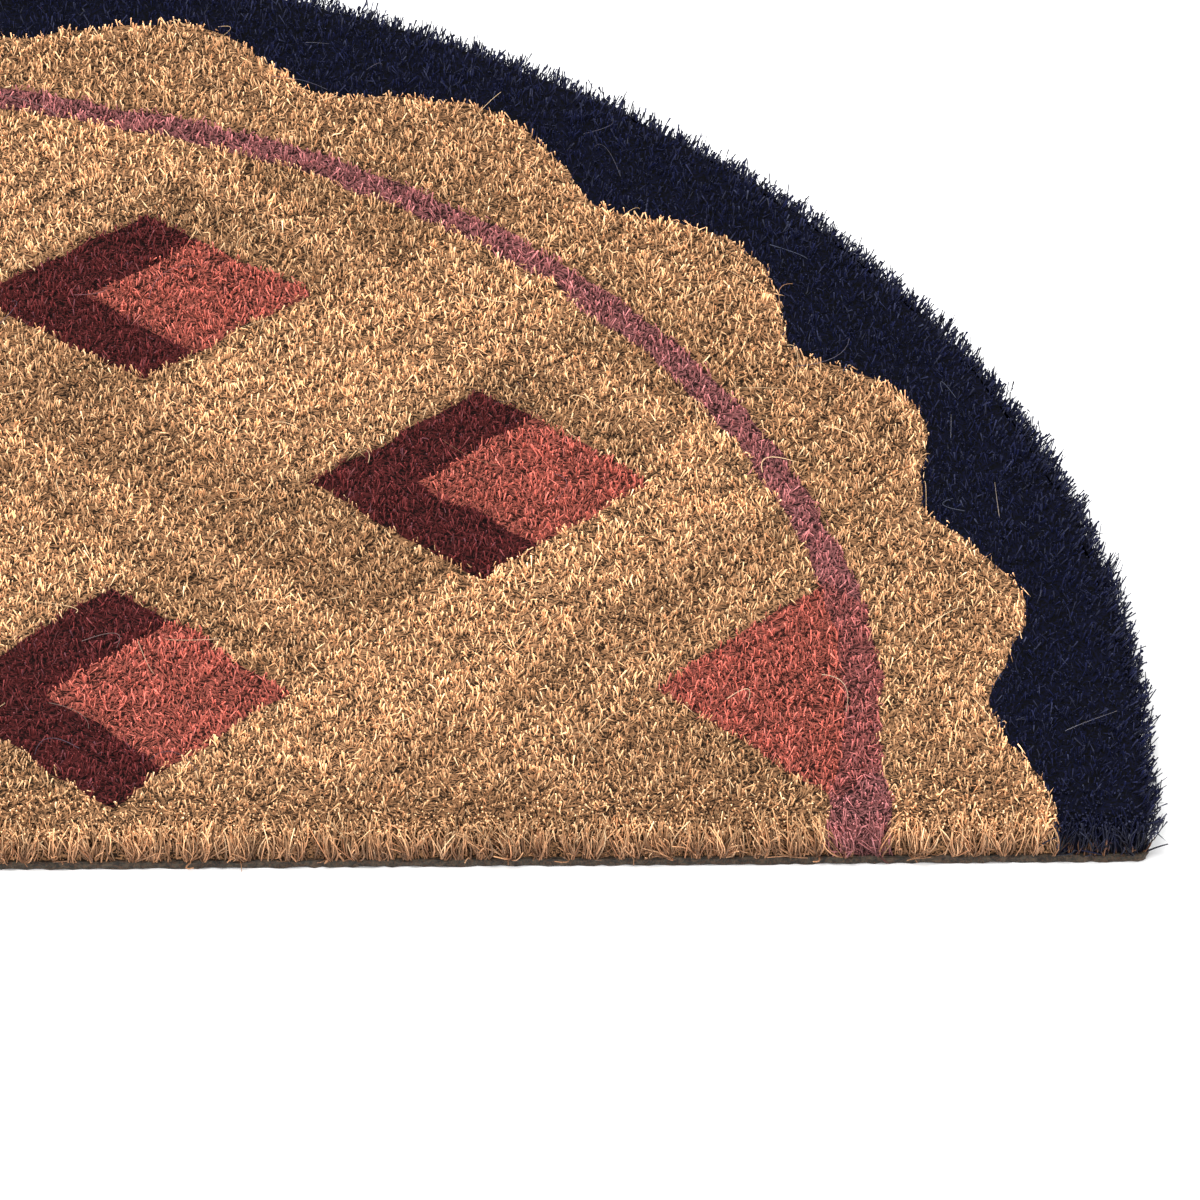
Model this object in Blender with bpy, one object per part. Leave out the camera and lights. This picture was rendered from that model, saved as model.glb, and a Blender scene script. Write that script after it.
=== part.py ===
"""Half round coir doormat: a vinyl backing sheet with a dense brush of coconut fibre standing on it.

Metres, +Z up. The straight front edge runs along X on the -Y side, and the round edge bulges to +Y.
The origin is on the floor, under the middle of the mat's bounding box.
"""

import math
import random

import bmesh
import bpy

# Driving dimensions of the backing sheet
HALF_WIDTH = 0.371  # also the radius of the round edge
STRAIGHT_SIDE = 0.040  # how far the short straight sides run back before the round edge starts
CORNER_RADIUS = 0.006
BACKING_THICKNESS = 0.0025
OUTLINE_STEP = 0.010  # spacing of the backing outline's points

# Driving dimensions of the pile
JOINT_GAP = 0.0003  # between the backing and the pile
PILE_TOP = 0.017  # height of the brushed surface above the floor
ROOT_INSET = 0.001  # the pile's roots stand this far inside the backing's edge
LOCK_WIDTH = 0.016  # the tufts that show one by one around the rim
LOCK_REACH = (0.0030, 0.0058)  # least and most that a tuft's tip leans out past the roots
LOCK_SWAY = 0.0022  # most that a tuft's tip leans along the rim
NOTCH_REACH = 0.0016  # how far the pile leans out between two tufts
SURFACE_CELL = 0.016  # spacing of the lumps on the brushed surface
LUMP_RANGE = (-0.0008, 0.0005)
EDGE_BAND = 0.013  # the surface falls off over this width along the rim
EDGE_DROP = 0.0022
SEED = 7

# Where the rim's wall bends: a share of the pile's height, and of its tufts' lean
RIM_LEVELS = [
    # height, lean
    (0.00, 0.00),
    (0.50, 0.38),
    (1.25, 1.15),
]
# Points across one tuft: a share of its width, and of its reach past the notch
LOCK_SHAPE = [
    # across, reach
    (0.00, 0.0),
    (0.22, 0.9),
    (0.55, 1.0),
    (0.86, 0.7),
]

COLLECTION_NAME = "half_round_coir_doormat"


def clear_scene():
    for old in list(bpy.data.objects):
        bpy.data.objects.remove(old, do_unlink=True)


def new_collection(name):
    collection = bpy.data.collections.new(name)
    bpy.context.scene.collection.children.link(collection)
    return collection


def material(name, colour, roughness):
    made = bpy.data.materials.new(name)
    made.use_nodes = True
    shader = made.node_tree.nodes["Principled BSDF"]
    shader.inputs["Base Color"].default_value = (*colour, 1.0)
    shader.inputs["Roughness"].default_value = roughness
    shader.inputs["Metallic"].default_value = 0.0
    return made


def half_rim_length():
    """From the middle of the front edge, round one corner and up one side, to the top of the arc."""
    return sum(length for _, length in rim_runs())


def rim_runs():
    return [
        ("front", HALF_WIDTH - CORNER_RADIUS),
        ("corner", CORNER_RADIUS * math.pi / 2),
        ("side", STRAIGHT_SIDE - CORNER_RADIUS),
        ("arc", HALF_WIDTH * math.pi / 2),
    ]


def rim_point(distance):
    """The outline's point and outward direction, at a distance along it from the front edge's middle.

    A negative distance runs to the left, and here the front edge lies on y = 0.
    """
    side = math.copysign(1.0, distance)
    left = abs(distance)
    for run, length in rim_runs():
        if left <= length:
            break
        left -= length
    if run == "front":
        return side * left, 0.0, 0.0, -1.0
    if run == "side":
        return side * HALF_WIDTH, CORNER_RADIUS + left, side, 0.0
    if run == "corner":
        turn = left / CORNER_RADIUS - math.pi / 2
        middle_x, middle_y, radius = HALF_WIDTH - CORNER_RADIUS, CORNER_RADIUS, CORNER_RADIUS
    else:
        turn = left / HALF_WIDTH
        middle_x, middle_y, radius = 0.0, STRAIGHT_SIDE, HALF_WIDTH
    out_x, out_y = math.cos(turn), math.sin(turn)
    return side * (middle_x + radius * out_x), middle_y + radius * out_y, side * out_x, out_y


def inside_rim(x, y):
    """How far a point lies inside the outline, negative outside it."""
    if y > STRAIGHT_SIDE:
        return HALF_WIDTH - math.hypot(x, y - STRAIGHT_SIDE)
    return min(HALF_WIDTH - abs(x), y)


def make_backing(collection, finish):
    half = half_rim_length()
    count = round(2 * half / OUTLINE_STEP)
    curve = bpy.data.curves.new("backing", "CURVE")
    curve.dimensions = "2D"
    curve.fill_mode = "BOTH"
    curve.extrude = BACKING_THICKNESS / 2
    spline = curve.splines.new("POLY")
    spline.use_cyclic_u = True
    spline.points.add(count - 1)
    for i, point in enumerate(spline.points):
        x, y, _, _ = rim_point(half * (2 * i / count - 1))
        point.co = (x, y, 0.0, 1.0)
    backing = bpy.data.objects.new("backing", curve)
    backing.location.z = BACKING_THICKNESS / 2
    curve.materials.append(finish)
    collection.objects.link(backing)
    return backing


def tufts_along_rim():
    """Points around the rim: distance along it, reach of the tip past the roots, and its sway."""
    draw = random.Random(SEED)
    half = half_rim_length()
    count = round(2 * half / LOCK_WIDTH)
    width = 2 * half / count
    points = []
    for i in range(count):
        reach = draw.uniform(*LOCK_REACH)
        sway = draw.uniform(-LOCK_SWAY, LOCK_SWAY)
        for across, share in LOCK_SHAPE:
            points.append((
                -half + (i + across) * width,
                NOTCH_REACH + share * (reach - NOTCH_REACH),
                share * sway,
            ))
    return points


def make_pile_sides(collection, finish):
    """The pile's sides, a prism whose walls lean out in tufts, taller than the pile so that it can be cut."""
    tufts = tufts_along_rim()
    bottom = BACKING_THICKNESS + JOINT_GAP
    rings = []
    for height, lean in RIM_LEVELS:
        ring = []
        for distance, reach, sway in tufts:
            x, y, out_x, out_y = rim_point(distance)
            out = lean * reach - ROOT_INSET
            along = lean * sway
            ring.append((
                x + out * out_x - along * out_y,
                y + out * out_y + along * out_x,
                bottom + height * (PILE_TOP - bottom),
            ))
        rings.append(ring)
    shape = bmesh.new()
    level = shape.faces.new([shape.verts.new(point) for point in rings[0]])
    for ring in rings[1:]:
        grown = bmesh.ops.extrude_discrete_faces(shape, faces=[level])
        level = grown["faces"][0]
        for corner, point in zip(level.verts, ring):
            corner.co = point
    foot = bmesh.ops.contextual_create(shape, geom=[e for e in shape.edges if e.is_boundary])
    bmesh.ops.recalc_face_normals(shape, faces=shape.faces)
    print("pile sides:", len(tufts), "points around,", len(foot["faces"]), "foot face")
    mesh = bpy.data.meshes.new("coir_pile")
    shape.to_mesh(mesh)
    shape.free()
    mesh.materials.append(finish)
    pile = bpy.data.objects.new("coir_pile", mesh)
    collection.objects.link(pile)
    return pile


def make_pile_surface(collection):
    """A slab with the brushed, slightly lumpy surface on top: the pile is what it shares with the sides."""
    draw = random.Random(SEED + 1)
    margin = 2 * SURFACE_CELL
    wide = 2 * (HALF_WIDTH + margin)
    deep = HALF_WIDTH + STRAIGHT_SIDE + 2 * margin
    shape = bmesh.new()
    bmesh.ops.create_grid(
        shape,
        x_segments=round(wide / SURFACE_CELL),
        y_segments=round(deep / SURFACE_CELL),
        size=0.5,
    )
    bmesh.ops.scale(shape, vec=(wide, deep, 1.0), verts=shape.verts)
    bmesh.ops.translate(shape, vec=(0.0, deep / 2 - margin, 0.0), verts=shape.verts)
    top = list(shape.verts)
    skirt = bmesh.ops.extrude_face_region(shape, geom=list(shape.faces), use_keep_orig=True)
    below = [item for item in skirt["geom"] if isinstance(item, bmesh.types.BMVert)]
    for corner in below:
        corner.co.z = -PILE_TOP
    for corner in top:
        near = min(1.0, max(0.0, 1.0 - inside_rim(corner.co.x, corner.co.y) / EDGE_BAND))
        corner.co.z = PILE_TOP + draw.uniform(*LUMP_RANGE) - EDGE_DROP * near**2
    bmesh.ops.recalc_face_normals(shape, faces=shape.faces)
    mesh = bpy.data.meshes.new("brushed_surface")
    shape.to_mesh(mesh)
    shape.free()
    cutter = bpy.data.objects.new("brushed_surface", mesh)
    cutter.hide_render = True
    cutter.display_type = "WIRE"
    collection.objects.link(cutter)
    return cutter


def build():
    clear_scene()
    parts = new_collection(COLLECTION_NAME)
    cutters = new_collection("cutters")
    vinyl = material("backing_vinyl", (0.045, 0.032, 0.024), 0.6)
    coir = material("coir_fibre", (0.46, 0.24, 0.115), 0.9)
    backing = make_backing(parts, vinyl)
    pile = make_pile_sides(parts, coir)
    surface = make_pile_surface(cutters)
    cut = pile.modifiers.new("brushed_surface", "BOOLEAN")
    cut.operation = "INTERSECT"
    cut.solver = "EXACT"
    cut.object = surface
    # The outline was drawn from the front edge back, so the whole mat moves to stand over the origin.
    middle = middle_of(pile)
    for made in (backing, pile, surface):
        made.location.x -= middle[0]
        made.location.y -= middle[1]


def middle_of(thing):
    """The middle of an object's box across X and Y."""
    bpy.context.view_layer.update()
    box = thing.evaluated_get(bpy.context.evaluated_depsgraph_get()).bound_box
    return [(min(c[i] for c in box) + max(c[i] for c in box)) / 2 for i in (0, 1)]


build()
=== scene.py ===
# %% [markdown]
# # A half round coir doormat
#
# The mat is a sheet of vinyl with a dense brush of coconut fibre standing in it. The brush is sheared
# level, and the pattern is printed on the tips with dye. This lesson dresses the finished solids of
# the mat. The solids are loaded first, and the outline of all that follows is read from them.

# %% Load the solids
import math
import random

import bmesh
import bpy
from mathutils import Matrix, Vector


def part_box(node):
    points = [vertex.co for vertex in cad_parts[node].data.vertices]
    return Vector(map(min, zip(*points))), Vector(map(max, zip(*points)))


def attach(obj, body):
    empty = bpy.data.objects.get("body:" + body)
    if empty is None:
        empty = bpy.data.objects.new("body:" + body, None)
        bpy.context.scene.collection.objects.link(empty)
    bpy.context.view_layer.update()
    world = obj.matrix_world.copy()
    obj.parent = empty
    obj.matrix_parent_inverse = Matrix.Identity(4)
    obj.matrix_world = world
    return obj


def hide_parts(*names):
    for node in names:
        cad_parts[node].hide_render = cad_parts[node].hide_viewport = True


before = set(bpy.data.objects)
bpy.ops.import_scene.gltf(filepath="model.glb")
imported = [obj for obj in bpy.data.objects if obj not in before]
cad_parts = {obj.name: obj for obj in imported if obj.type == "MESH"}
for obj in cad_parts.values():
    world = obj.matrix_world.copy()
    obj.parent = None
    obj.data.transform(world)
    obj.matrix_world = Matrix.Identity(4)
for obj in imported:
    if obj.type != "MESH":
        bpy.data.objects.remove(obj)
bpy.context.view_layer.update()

# %% [markdown]
# ## Sizes from the solids
#
# The outline is a straight front edge, two short straight sides and a round edge. Three numbers
# describe it, and they are read from the backing's box: half the width, which is also the radius of
# the round edge, the length of the straight sides, and where the front edge lies.

# %% Sizes from the solids
backing_low, backing_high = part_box("backing")
HALF_WIDTH = (backing_high.x - backing_low.x) / 2
STRAIGHT_SIDE = (backing_high.y - backing_low.y) - HALF_WIDTH
MIDDLE_X = (backing_high.x + backing_low.x) / 2
FRONT_Y = backing_low.y
BACKING_TOP = backing_high.z
PILE_TOP = 0.0170  # the sheared level, a little under the highest lump of the solid pile
print(f"half width {HALF_WIDTH:.4f}, straight side {STRAIGHT_SIDE:.4f}, pile top {PILE_TOP:.4f} m")

# %% [markdown]
# ## A few helpers for node trees
#
# A node tree is easier to read when a calculation looks like a calculation. Each helper adds one
# node, plugs numbers or sockets into it, and returns its output. They work for shaders and for
# Geometry Nodes, because both kinds of tree share the maths nodes.

# %% Helpers for node trees
def plug(tree, source, socket):
    if isinstance(source, bpy.types.NodeSocket):
        tree.links.new(source, socket)
    else:
        socket.default_value = source


def add(tree, kind, settings=None, **inputs):
    """One node with its settings, and its inputs by name, where an underscore stands for a space."""
    node = tree.nodes.new(kind)
    for name, value in (settings or {}).items():
        setattr(node, name, value)
    for name, source in inputs.items():
        plug(tree, source, node.inputs[name.replace("_", " ")])
    return node


def calc(tree, operation, *sources, clamp=False):
    node = add(tree, "ShaderNodeMath", {"operation": operation, "use_clamp": clamp})
    for source, socket in zip(sources, node.inputs):
        plug(tree, source, socket)
    return node.outputs[0]


def vector(tree, operation, *sources):
    node = add(tree, "ShaderNodeVectorMath", {"operation": operation})
    sockets = node.inputs if operation != "SCALE" else (node.inputs[0], node.inputs["Scale"])
    for source, socket in zip(sources, sockets):
        plug(tree, source, socket)
    return node.outputs["Value" if operation in ("LENGTH", "DISTANCE", "DOT_PRODUCT") else "Vector"]


def ramp(tree, value, low, high, to_low=0.0, to_high=1.0):
    """A smooth step from to_low at low to to_high at high."""
    node = add(tree, "ShaderNodeMapRange", {"interpolation_type": "SMOOTHSTEP"})
    names = ("Value", "From Min", "From Max", "To Min", "To Max")
    for source, name in zip((value, low, high, to_low, to_high), names):
        plug(tree, source, node.inputs[name])
    return node.outputs["Result"]


def mix_colour(tree, factor, first, second, blend="MIX"):
    node = add(tree, "ShaderNodeMix", {"data_type": "RGBA", "blend_type": blend})
    for source, index in ((factor, 0), (first, 6), (second, 7)):
        plug(tree, source, node.inputs[index])
    return node.outputs[2]


def shaded(tree, colour, light):
    """A colour made darker or lighter."""
    grey = add(tree, "ShaderNodeCombineColor", Red=light, Green=light, Blue=light).outputs[0]
    return mix_colour(tree, 1.0, colour, grey, "MULTIPLY")


def noise_at(tree, place, scale, detail=1.0, **more):
    """Soft noise from 0 to 1."""
    return add(tree, "ShaderNodeTexNoise", Vector=place, Scale=scale, Detail=detail, **more).outputs["Fac"]


def distance(tree, across, up):
    """The length over two sides at right angles."""
    squares = [calc(tree, "MULTIPLY", side, side) for side in (across, up)]
    return calc(tree, "SQRT", calc(tree, "ADD", *squares))


def use(tree, group, **inputs):
    """The outputs of a node group that is placed in this tree."""
    kind = "GeometryNodeGroup" if tree.bl_idname == "GeometryNodeTree" else "ShaderNodeGroup"
    return add(tree, kind, {"node_tree": group}, **inputs).outputs


def new_finish(name):
    """A new material: itself, its tree and its shader."""
    finish = bpy.data.materials.new(name)
    finish.use_nodes = True
    return finish, finish.node_tree, finish.node_tree.nodes["Principled BSDF"]


def group_tree(name, kind, inputs, outputs):
    """A node group with inputs (name, socket type, default) and outputs (name, socket type)."""
    tree = bpy.data.node_groups.new(name, kind)
    for label, socket_type, default in inputs:
        socket = tree.interface.new_socket(label, in_out="INPUT", socket_type=socket_type)
        if default is not None:
            socket.default_value = default
    for label, socket_type in outputs:
        tree.interface.new_socket(label, in_out="OUTPUT", socket_type=socket_type)
    start = tree.nodes.new("NodeGroupInput")
    end = tree.nodes.new("NodeGroupOutput")
    return tree, start.outputs, end.inputs


def srgb(red, green, blue):
    """A colour as it is picked from a picture, from 0 to 255, in the linear values that shaders use."""
    linear = []
    for part in (red, green, blue):
        share = part / 255
        linear.append(share / 12.92 if share <= 0.04045 else ((share + 0.055) / 1.055) ** 2.4)
    return (*linear, 1.0)


# %% [markdown]
# ## Camera, floor and light
#
# The mat is seen from its front edge at about 38 degrees above the floor, through a long lens, so
# its lines hardly converge. Distances are given in radii of the printed outline, measured from the
# middle of the front edge. The floor and the light are plain and pale, so the fibre does the talking.

# %% Camera
PRINT_RADIUS = 0.375
CAMERA_PLACE = (0.4680, -6.0435, 5.0977)  # in radii: right, behind and above the front edge's middle
CAMERA_TILT_DOWN = 0.6763
CAMERA_TURN = -0.0205
CAMERA_ROLL = 0.0060
LENS_SHARE = 9.13  # focal length over the sensor's width
SENSOR_MM = 36.0

camera_data = bpy.data.cameras.new("camera")
camera_data.sensor_width = SENSOR_MM
camera_data.lens = LENS_SHARE * SENSOR_MM
camera_data.clip_end = 20.0
camera = bpy.data.objects.new("camera", camera_data)
bpy.context.scene.collection.objects.link(camera)
right, back, up = (PRINT_RADIUS * value for value in CAMERA_PLACE)
camera.matrix_world = (
    Matrix.Translation((MIDDLE_X + right, FRONT_Y + back, up))
    @ Matrix.Rotation(CAMERA_TURN, 4, "Z")
    @ Matrix.Rotation(math.pi / 2 - CAMERA_TILT_DOWN, 4, "X")
    @ Matrix.Rotation(CAMERA_ROLL, 4, "Z")
)
bpy.context.scene.camera = camera
print("camera at", [round(v, 3) for v in camera.location], "lens", round(camera_data.lens, 1), "mm")

# %% Floor and light
FLOOR_SIZE = 9.0
FLOOR_GAP = 0.0002  # keeps the floor clear of the backing's underside
WORLD_STRENGTH = 0.80
floor_mesh = bpy.data.meshes.new("floor")
shape = bmesh.new()
bmesh.ops.create_grid(shape, x_segments=1, y_segments=1, size=FLOOR_SIZE / 2)
bmesh.ops.translate(shape, vec=(0, 0, -FLOOR_GAP), verts=shape.verts)
shape.to_mesh(floor_mesh)
shape.free()
floor = bpy.data.objects.new("floor", floor_mesh)
bpy.context.scene.collection.objects.link(floor)
floor_finish, _, floor_shader = new_finish("pale_floor")
floor_shader.inputs["Base Color"].default_value = (0.97, 0.97, 0.97, 1)
floor_shader.inputs["Roughness"].default_value = 0.9
floor_mesh.materials.append(floor_finish)

world = bpy.data.worlds.new("studio")
world.use_nodes = True
background = world.node_tree.nodes["Background"]
background.inputs["Color"].default_value = (1.0, 1.0, 1.0, 1)
background.inputs["Strength"].default_value = WORLD_STRENGTH
bpy.context.scene.world = world

LIGHTS = [
    # name, place, size, power in watts
    ("key", (-0.35, -0.85, 2.1), 1.3, 60.0),
    ("fill", (1.0, -1.8, 1.2), 1.6, 20.0),
]
for name, place, size, power in LIGHTS:
    lamp = bpy.data.lights.new(name, "AREA")
    lamp.size = size
    lamp.energy = power
    light = bpy.data.objects.new(name, lamp)
    light.location = place
    light.rotation_euler = (-Vector(place)).to_track_quat("-Z", "Y").to_euler()
    bpy.context.scene.collection.objects.link(light)
bpy.context.scene.view_settings.view_transform = "Standard"
print("lights:", len(LIGHTS))

# %% [markdown]
# ## The printed pattern, as one shader group
#
# The pattern is a stencil print: a dark border with scallops, a thin rose arc, and rows of diamonds
# on a field of natural fibre with faint lighter and darker bands. A picture could be wrapped over
# the mat, but a print that follows rules is shorter to write as maths on the position, and it stays
# sharp at any distance. The group takes a place on the mat and gives back the colour printed there.

# %% Sizes and dyes of the print
BORDER_VALLEY = 0.3290  # radius of the border's inner edge, at its points and at its deepest lobes
BORDER_LOBE = 0.3460
LOBE_VALLEY_ANGLES = (-14.5, 1.5, 17.2, 31.3, 46.5, 64.0, 80.0, 100.0)  # of its points, in degrees
LOBE_FULLNESS = 1.6  # a power of the wave: a higher one makes the lobes narrower
ARC_RADIUS = 0.2968
ARC_WIDTH = 0.0100
ARC_FLARE = 0.0080  # how much wider the rose arc gets at the front edge
ARC_FLARE_HEIGHT = 0.030
ARC_BEND = 0.004  # how far the arc pulls in at the front edge
ARC_BEND_HEIGHT = 0.090
COLUMN_PITCH = 0.0955
ROW_PITCH = 0.09575  # the rows close up towards the round edge
ROW_CLOSING = 3.6  # rows gained by that at a height of 1 m, growing with the height's square
FIRST_ROW = 0.0567  # height of the first row of diamonds above the front edge
FIRST_ROW_SLIP = 0.0060
DIAMOND_WIDE = 0.0488  # half a diamond's width, and half its height in rows
DIAMOND_HIGH = 0.495
DIAMOND_LOWER = 0.019  # how much lower, in rows, the diamonds get with each row
INNER_SHARE = 0.675  # size of the coral diamond inside the maroon one
PLAIN_RADIUS = 0.26  # a diamond with its middle past this radius is all coral

# Bands of the undyed field, in diamonds: the middle, how far out it is full, and how far out it ends
WIDE_BAND = (0.0, 0.38, 0.52)
RIGHT_BAND = (1.70, 0.24, 0.40)
FAINT_BAND = (2.37, 0.05, 0.16)
THIN_BAND = (1.85, 0.05, 0.14)
DARK_BAND = (2.02, 0.34, 0.48)

DYES = {
    "navy": srgb(11, 15, 43),
    "maroon": srgb(98, 40, 40),
    "coral": srgb(190, 102, 87),
    "rose": srgb(170, 106, 105),
    "rose over coral": srgb(172, 99, 94),
    "bright fibre": srgb(249, 196, 145),
    "grey fibre": srgb(192, 150, 109),
    "straw": srgb(250, 218, 172),
    "husk": srgb(168, 112, 74),
    "ruddy foot": srgb(200, 136, 100),
    "bare foot": srgb(140, 94, 62),
    # grey-blue of pale threads, also used as a painted sheen on dyed fibres
    "dusty thread and sheen": srgb(92, 97, 116),
}
print("dyes:", ", ".join(DYES))

# %% [markdown]
# The border's inner edge is a circle whose radius grows in the middle of each scallop. The scallops
# aren't equally wide, so a curve turns the angle into an even count of them. The rose arc is a ring.

# %% Border and rose arc
def past_border_edge(tree, side, over, radius):
    """How far a place lies past the border's inner edge, negative inside it."""
    angle = calc(tree, "DEGREES", calc(tree, "ARCTAN2", over, side))
    first, last = LOBE_VALLEY_ANGLES[0], LOBE_VALLEY_ANGLES[-1]
    turned = calc(tree, "DIVIDE", calc(tree, "SUBTRACT", angle, first), last - first)
    counter = add(tree, "ShaderNodeFloatCurve", Value=turned)
    curve = counter.mapping.curves[0]
    steps = len(LOBE_VALLEY_ANGLES) - 1
    for i, valley in enumerate(LOBE_VALLEY_ANGLES[1:-1], 1):
        curve.points.new((valley - first) / (last - first), i / steps)
    for point in curve.points:
        point.handle_type = "VECTOR"
    counter.mapping.update()
    wave = calc(tree, "SINE", calc(tree, "MULTIPLY", counter.outputs["Value"], steps * math.pi))
    lobe = calc(tree, "POWER", calc(tree, "ABSOLUTE", wave), LOBE_FULLNESS)
    edge = calc(tree, "MULTIPLY_ADD", lobe, BORDER_LOBE - BORDER_VALLEY, BORDER_VALLEY)
    return calc(tree, "SUBTRACT", radius, edge)


def rose_arc(tree, y, radius):
    """Masks of the arc, a little wider and pulled in at the front edge, and of all that it encloses."""
    flare = ramp(tree, y, 0.0, ARC_FLARE_HEIGHT, ARC_FLARE / 2, 0.0)
    half_arc = calc(tree, "ADD", flare, ARC_WIDTH / 2)
    centre_line = ramp(tree, y, 0.0, ARC_BEND_HEIGHT, ARC_RADIUS - ARC_BEND, ARC_RADIUS)
    off_line = calc(tree, "ABSOLUTE", calc(tree, "SUBTRACT", radius, centre_line))
    in_arc = calc(tree, "LESS_THAN", off_line, half_arc)
    return in_arc, calc(tree, "LESS_THAN", radius, calc(tree, "ADD", centre_line, half_arc))


# %% [markdown]
# The diamonds stand in slanting rows. Two counts, one growing along each slant, find the middle of
# the nearest diamond, and its four edges are straight lines round that. Most diamonds are maroon
# with a smaller coral one pushed to the right. The outermost are plain coral.

# %% Diamonds
def slanting_counts(tree, x, y):
    """The row of a place, and its counts along the two slants. The rows close up with the height."""
    column = calc(tree, "DIVIDE", x, COLUMN_PITCH)
    past_first = calc(tree, "SUBTRACT", y, FIRST_ROW)
    closing = calc(tree, "MULTIPLY", calc(tree, "MULTIPLY", past_first, past_first), ROW_CLOSING)
    row = calc(tree, "MULTIPLY_ADD", past_first, 1 / ROW_PITCH, closing)
    return row, calc(tree, "ADD", column, row), calc(tree, "SUBTRACT", column, row)


def diamonds(tree, x, row, rising, falling, within_arc):
    """Masks of the diamonds, and of what is coral in them."""
    def cell(count):
        return calc(tree, "MULTIPLY_ADD", calc(tree, "FLOOR", calc(tree, "MULTIPLY", count, 0.5)), 2.0, 1.0)

    rising_cell, falling_cell = cell(rising), cell(falling)
    own_column = calc(tree, "MULTIPLY", calc(tree, "ADD", rising_cell, falling_cell), 0.5)
    own_row = calc(tree, "MULTIPLY", calc(tree, "SUBTRACT", rising_cell, falling_cell), 0.5)
    # The stencil's first row slipped: its diamonds next to the middle sit a little closer in.
    in_first_row = calc(tree, "LESS_THAN", own_row, 0.5)
    next_to_middle = calc(tree, "LESS_THAN", calc(tree, "ABSOLUTE", own_column), 1.5)
    slipped = calc(tree, "MULTIPLY", in_first_row, next_to_middle)
    pitch = calc(tree, "MULTIPLY_ADD", slipped, -FIRST_ROW_SLIP, COLUMN_PITCH)
    own_x = calc(tree, "MULTIPLY", own_column, pitch)
    off_x = calc(tree, "DIVIDE", calc(tree, "SUBTRACT", x, own_x), DIAMOND_WIDE)
    own_high = calc(tree, "MULTIPLY_ADD", own_row, -DIAMOND_LOWER, DIAMOND_HIGH)
    off_y = calc(tree, "DIVIDE", calc(tree, "SUBTRACT", row, own_row), own_high)
    rising_in, falling_in = calc(tree, "ADD", off_x, off_y), calc(tree, "SUBTRACT", off_x, off_y)
    outermost = calc(tree, "MAXIMUM", calc(tree, "ABSOLUTE", rising_in), calc(tree, "ABSOLUTE", falling_in))
    on_mat = calc(tree, "GREATER_THAN", own_row, -0.5)
    stencilled = calc(tree, "MULTIPLY", on_mat, within_arc)
    in_diamond = calc(tree, "MULTIPLY", calc(tree, "LESS_THAN", outermost, 1.0), stencilled)
    in_coral = calc(tree, "GREATER_THAN", calc(tree, "MINIMUM", rising_in, falling_in), 1 - 2 * INNER_SHARE)
    own_y = calc(tree, "MULTIPLY_ADD", own_row, ROW_PITCH, FIRST_ROW - STRAIGHT_SIDE)
    plain = calc(tree, "GREATER_THAN", distance(tree, own_x, own_y), PLAIN_RADIUS)
    return in_diamond, calc(tree, "MAXIMUM", in_coral, plain)


# %% [markdown]
# The undyed field isn't even. Wide light bands between the diamonds rise to the right, thin ones
# fall across them, and one band that falls across the left part is darker. A soft noise breaks them.

# %% Bands of the undyed field
def every_second(tree, count, middle, full, none):
    away = calc(tree, "PINGPONG", calc(tree, "SUBTRACT", count, middle), 1.0)
    return ramp(tree, away, full, none, 1.0, 0.0)


def near(tree, count, middle, full, none):
    away = calc(tree, "ABSOLUTE", calc(tree, "SUBTRACT", count, middle))
    return ramp(tree, away, full, none, 1.0, 0.0)


def field_tone(tree, cloud, y, radius, past_edge, rising, falling):
    """How bright the undyed fibre is, from 0 to 1."""
    left_part = calc(tree, "LESS_THAN", falling, 1.0)
    wide = calc(tree, "MULTIPLY", left_part, every_second(tree, falling, *WIDE_BAND))
    wide = calc(tree, "MAXIMUM", wide, near(tree, falling, *RIGHT_BAND))
    wide = calc(tree, "MAXIMUM", wide, calc(tree, "MULTIPLY", near(tree, falling, *FAINT_BAND), 0.55))
    thin = every_second(tree, rising, *THIN_BAND)
    dark_part = ramp(tree, falling, 1.25, 1.40, 1.0, 0.0)
    shadow = calc(tree, "MULTIPLY", near(tree, rising, *DARK_BAND), dark_part)
    tone = calc(tree, "MULTIPLY_ADD", wide, 0.75, 0.12)
    tone = calc(tree, "MULTIPLY", tone, calc(tree, "MULTIPLY_ADD", shadow, -0.85, 1.0))
    tone = calc(tree, "MAXIMUM", tone, calc(tree, "MULTIPLY", thin, 0.8))
    # The fibre is greyer at the front edge, and brightest just inside the border.
    tone = calc(tree, "MULTIPLY", tone, ramp(tree, y, 0.004, 0.032, 0.30, 1.0))
    outside = calc(tree, "GREATER_THAN", radius, ARC_RADIUS)
    tone = calc(tree, "MULTIPLY", tone, calc(tree, "SUBTRACT", 1.0, outside))
    rim_light = calc(tree, "MULTIPLY", outside, ramp(tree, past_edge, -0.0075, -0.0025, 0.40, 0.95))
    tone = calc(tree, "MAXIMUM", tone, rim_light)
    return calc(tree, "ADD", tone, calc(tree, "MULTIPLY_ADD", cloud, 0.9, -0.45), clamp=True)


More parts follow.
